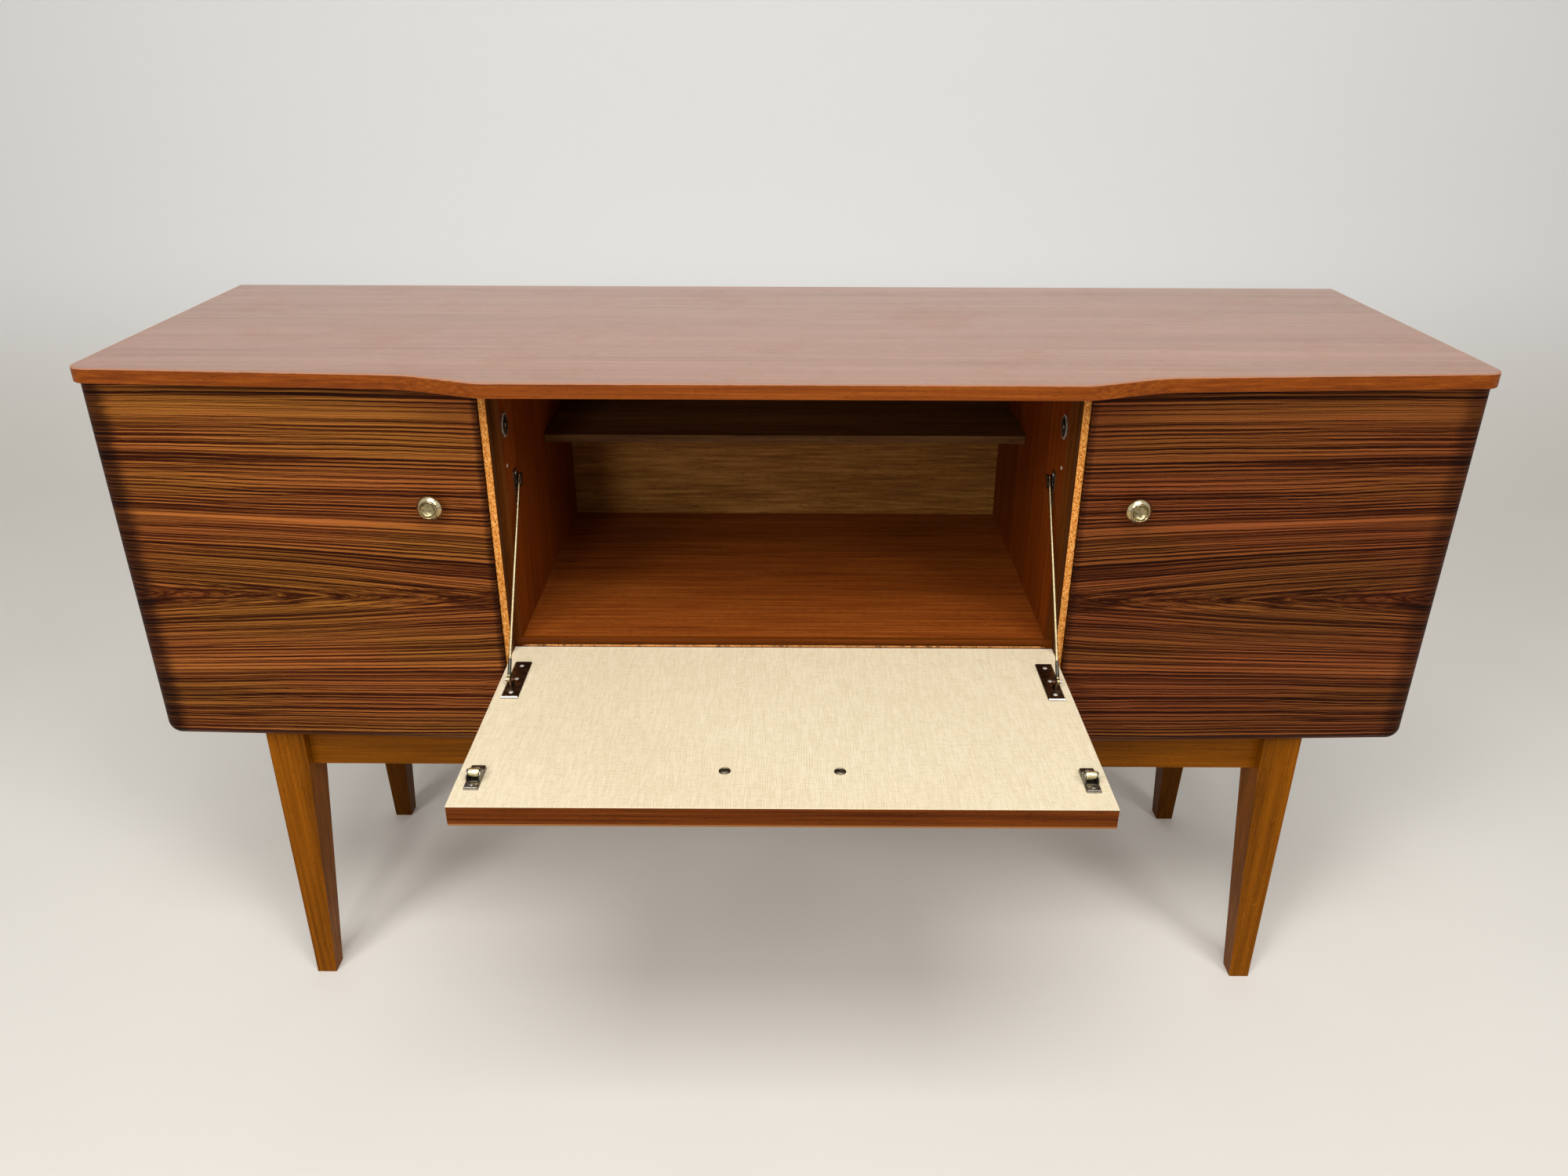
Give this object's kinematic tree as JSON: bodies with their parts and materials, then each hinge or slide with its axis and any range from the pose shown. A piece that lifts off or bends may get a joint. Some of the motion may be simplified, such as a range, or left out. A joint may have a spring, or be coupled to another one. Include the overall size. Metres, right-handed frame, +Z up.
{
  "type": "sideboard",
  "caption": "Long low sideboard on tapered legs: canted doors with round knobs, a drop-front bay with sliding stays in the middle and a drawer below it, shown open.",
  "frame": {"origin": "on the floor, in the middle of the width, and midway between the back edge of the top and the front edge of the open flap", "axes": "+X to the viewer's right along the length, +Y towards the wall behind, +Z up; the doors and the flap face -Y"},
  "size_m": [1.372, 0.6744, 0.77],
  "materials": {
    "top_veneer": "gloss",
    "lipping": "satin",
    "door_veneer": "gloss",
    "side_veneer": "gloss",
    "bay_veneer": "satin",
    "bay_oak": "satin",
    "chipboard": "matte",
    "leg_wood": "satin",
    "carcass_board": "matte",
    "drawer_wood": "matte",
    "flap_veneer": "satin",
    "laminate": "satin",
    "brass": "polished",
    "bronze": "satin",
    "steel": "brushed",
    "dark_steel": "satin",
    "roller_brass": "satin"
  },
  "bodies": {
    "carcass": {"top_board": "top_veneer", "top_lipping": "lipping", "left_side_panel": "side_veneer", "right_side_panel": "side_veneer", "bottom_board": "carcass_board", "left_divider": "chipboard", "right_divider": "chipboard", "left_bay_side": "bay_veneer", "right_bay_side": "bay_veneer", "bay_floor": "bay_veneer", "bay_floor_lipping": "lipping", "back_panel": "bay_oak", "bay_shelf": "bay_oak", "cupboard_shelves": "carcass_board", "shelf_pegs": "dark_steel", "front_left_leg": "leg_wood", "front_right_leg": "leg_wood", "rear_left_leg": "leg_wood", "rear_right_leg": "leg_wood", "front_rail": "leg_wood", "rear_rail": "leg_wood", "end_rails": "leg_wood", "glue_blocks": "drawer_wood", "flap_hinge_fixed_leaf": "brass", "flap_hinge_pin": "steel", "stay_brackets": "bronze", "keep_plates": "dark_steel", "left_door_fixed_leaves": "brass", "right_door_fixed_leaves": "brass", "door_hinge_pins": "steel", "door_catches": "steel", "drawer_runners": "drawer_wood"},
    "flap": {"flap_board": "flap_veneer", "flap_lining": "laminate", "flap_handle": "brass", "flap_handle_screws": "steel", "left_stay_plate": "bronze", "right_stay_plate": "bronze", "left_roller_catch": "steel", "right_roller_catch": "steel", "flap_hinge_moving_leaf": "brass"},
    "left_roller": {"left_catch_roller": "roller_brass"},
    "right_roller": {"right_catch_roller": "roller_brass"},
    "left_swivel": {"left_stay_swivel": "bronze"},
    "right_swivel": {"right_stay_swivel": "bronze"},
    "left_stay": {"left_stay_rod": "brass"},
    "right_stay": {"right_stay_rod": "brass"},
    "left_door_leaf": {"left_door": "door_veneer", "left_knob": "brass", "left_door_leaves": "brass", "left_door_strike": "steel"},
    "right_door_leaf": {"right_door": "door_veneer", "right_knob": "brass", "right_door_leaves": "brass", "right_door_strike": "steel"},
    "drawer": {"drawer_front": "door_veneer", "drawer_sides": "drawer_wood", "drawer_back": "drawer_wood", "drawer_bottom": "drawer_wood", "drawer_handle": "brass"}
  },
  "joints": [
    {"name": "flap_hinge", "type": "hinge", "parent": "carcass", "child": "flap", "pos_m": [0, -0.04875, 0.465], "axis": [-1, 0, 0], "range_deg": [0, 90]},
    {"name": "left_door_hinge", "type": "hinge", "parent": "carcass", "child": "left_door_leaf", "pos_m": [-0.683, -0.03705, 0.352], "axis": [0, 0, -1], "range_deg": [0, 100]},
    {"name": "right_door_hinge", "type": "hinge", "parent": "carcass", "child": "right_door_leaf", "pos_m": [0.683, -0.03705, 0.352], "axis": [0, 0, 1], "range_deg": [0, 100]},
    {"name": "drawer_slide", "type": "slide", "parent": "carcass", "child": "drawer", "axis": [0, -1, 0], "range_m": [0, 0.2]},
    {"name": "left_stay_turn", "type": "hinge", "parent": "carcass", "child": "left_swivel", "pos_m": [-0.2755, -0.00875, 0.64], "axis": [1, 0, 0], "range_deg": [0, 16.6]},
    {"name": "left_stay_pivot", "type": "hinge", "parent": "flap", "child": "left_stay", "pos_m": [-0.2755, -0.13375, 0.472], "axis": [1, 0, 0], "range_deg": [0, 106.6]},
    {"name": "left_roller_spin", "type": "hinge", "parent": "flap", "child": "left_roller", "pos_m": [-0.271, -0.29675, 0.4722], "axis": [1, 0, 0], "continuous": true},
    {"name": "right_stay_turn", "type": "hinge", "parent": "carcass", "child": "right_swivel", "pos_m": [0.2755, -0.00875, 0.64], "axis": [1, 0, 0], "range_deg": [0, 16.6]},
    {"name": "right_stay_pivot", "type": "hinge", "parent": "flap", "child": "right_stay", "pos_m": [0.2755, -0.13375, 0.472], "axis": [1, 0, 0], "range_deg": [0, 106.6]},
    {"name": "right_roller_spin", "type": "hinge", "parent": "flap", "child": "right_roller", "pos_m": [0.271, -0.29675, 0.4722], "axis": [1, 0, 0], "continuous": true}
  ],
  "couplings": [
    {"joint": "left_stay_turn", "follows": "flap_hinge", "ratio": 0.1835},
    {"joint": "left_stay_pivot", "follows": "flap_hinge", "ratio": 1.1835},
    {"joint": "right_stay_turn", "follows": "flap_hinge", "ratio": 0.1835},
    {"joint": "right_stay_pivot", "follows": "flap_hinge", "ratio": 1.1835}
  ]
}
